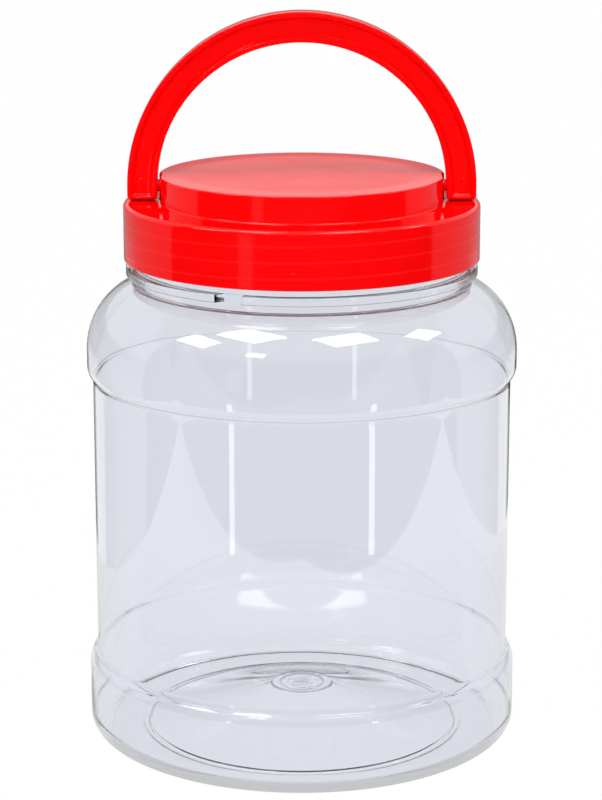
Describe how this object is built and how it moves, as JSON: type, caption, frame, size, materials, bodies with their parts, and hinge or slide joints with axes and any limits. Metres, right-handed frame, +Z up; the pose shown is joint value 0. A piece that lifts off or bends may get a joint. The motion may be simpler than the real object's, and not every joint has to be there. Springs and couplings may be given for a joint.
{
  "type": "plastic jar",
  "caption": "Clear round wide-mouth jar with a banded shoulder and heel, a red screw lid with a foam seal, and a red bail handle that folds flat round the lid's hub.",
  "frame": {"origin": "centre of the base, on the plane of the ring that the jar stands on", "axes": "+Z up along the jar's axis, +X along the handle's pins, -Y towards the viewer of the picture"},
  "size_m": [0.1426, 0.1426, 0.2401],
  "materials": {
    "clear_plastic": "clear, glossy, blow moulded",
    "red_plastic": "bright red, glossy, injection moulded",
    "foam": "white, matte, fine closed-cell foam"
  },
  "bodies": {
    "jar": {"jar": "clear_plastic"},
    "liner": {"lid_liner": "foam"},
    "lid": {"lid": "red_plastic"},
    "handle": {"handle": "red_plastic"}
  },
  "joints": [
    {"name": "lid_lift", "type": "slide", "parent": "jar", "child": "liner", "axis": [0, 0, 1], "range_m": [0, 0.0063]},
    {"name": "lid_turn", "type": "hinge", "parent": "liner", "child": "lid", "pos_m": [0, 0, 0.17898], "axis": [0, 0, 1], "range_deg": [0, 450]},
    {"name": "handle_swing", "type": "hinge", "parent": "lid", "child": "handle", "pos_m": [0, 0, 0.18388], "axis": [1, 0, 0], "range_deg": [-90, 90]}
  ],
  "couplings": [
    {"joint": "lid_lift", "follows": "lid_turn", "m_per_rad": 0.00079577}
  ]
}
